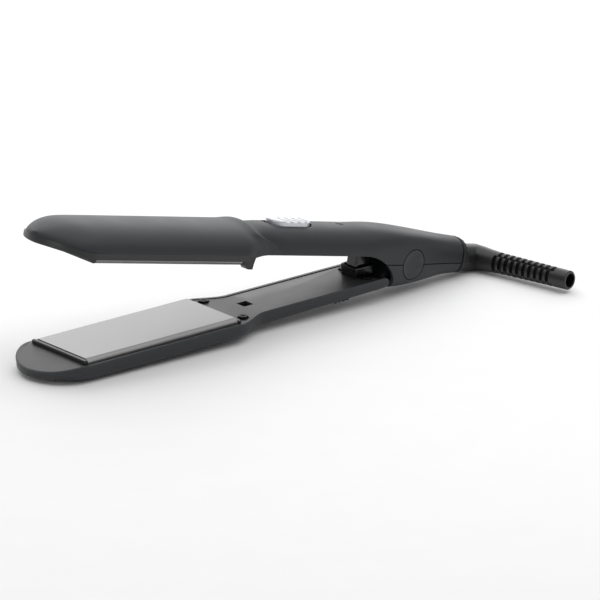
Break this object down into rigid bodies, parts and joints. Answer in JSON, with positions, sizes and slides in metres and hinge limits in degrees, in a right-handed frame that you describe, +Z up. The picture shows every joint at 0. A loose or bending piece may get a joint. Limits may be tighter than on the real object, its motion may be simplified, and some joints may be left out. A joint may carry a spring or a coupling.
{
  "type": "flat iron",
  "caption": "Hair straightener with two hinged arms, heated plates, a sliding switch, a lock button and a swivelling cord guard.",
  "frame": {"origin": "on the flat underside of the lower arm, under the middle of the plates", "axes": "+X from the nose to the tail, +Z up through the arms, +Y to the left of a user who looks along +X"},
  "size_m": [0.2939, 0.0817, 0.0811],
  "materials": {
    "casing": "matte charcoal moulded plastic",
    "dark_frame": "black heat-resistant plastic",
    "cover": "matte dark grey plastic",
    "plate": "smooth ceramic-coated plate",
    "ceramic": "ceramic",
    "steel": "satin",
    "spring_steel": "satin",
    "screw": "blackened steel",
    "silver_button": "silver lacquered plastic",
    "lens": "dark clear plastic",
    "led": "red clear plastic",
    "board": "green solder mask",
    "black_plastic": "black plastic",
    "brass": "bright brass",
    "lead": "glass-fibre sleeved lead",
    "cord_rubber": "satin black rubber"
  },
  "bodies": {
    "lower_arm": {"lower_casing": "casing", "lower_inner_cover": "cover", "lower_plate_carrier": "dark_frame", "lower_plate": "plate", "lower_heater": "ceramic", "lower_heater_clamp": "steel", "lower_heater_leads": "lead", "spring_socket": "dark_frame", "opening_spring": "spring_steel", "plate_screws": "screw", "rear_screws": "screw"},
    "lock_button": {"lock_slider": "casing"},
    "upper_arm": {"upper_casing": "casing", "tail_lower_shell": "casing", "upper_liner": "cover", "upper_plate_carrier": "dark_frame", "upper_plate": "plate", "upper_heater": "ceramic", "upper_heater_clamp": "steel", "upper_heater_leads": "lead", "thermal_fuse": "steel", "locating_peg": "dark_frame", "spring_post": "dark_frame", "control_board": "board", "switch_body": "black_plastic", "indicator_led": "led", "indicator_lens": "lens", "hinge_pin": "steel", "hinge_bush_near": "brass", "hinge_bush_far": "brass", "hinge_cap_near": "casing", "hinge_cap_far": "casing", "tail_screws": "screw", "cord_collar": "casing", "slip_contact": "brass"},
    "switch_button": {"switch_slider": "silver_button"},
    "cord_guard": {"swivel_stem": "black_plastic", "slip_rings": "brass", "cord_relief": "cord_rubber"}
  },
  "joints": [
    {"name": "arm_hinge", "type": "hinge", "parent": "lower_arm", "child": "upper_arm", "pos_m": [0.1605, 0, 0.012], "axis": [0, -1, 0], "range_deg": [0, 12.8], "stiffness_Nm_per_rad": 0.8, "springref_deg": -20.05, "deforming": ["opening_spring"]},
    {"name": "lock_slide", "type": "slide", "parent": "lower_arm", "child": "lock_button", "axis": [1, 0, 0], "range_m": [0, 0.004]},
    {"name": "switch_slide", "type": "slide", "parent": "upper_arm", "child": "switch_button", "axis": [-0.9751, 0, 0.2215], "range_m": [0, 0.0025]},
    {"name": "cord_swivel", "type": "hinge", "parent": "upper_arm", "child": "cord_guard", "pos_m": [0.19627, 0, 0.00469], "axis": [0.9751, 0, -0.2215], "continuous": true}
  ]
}
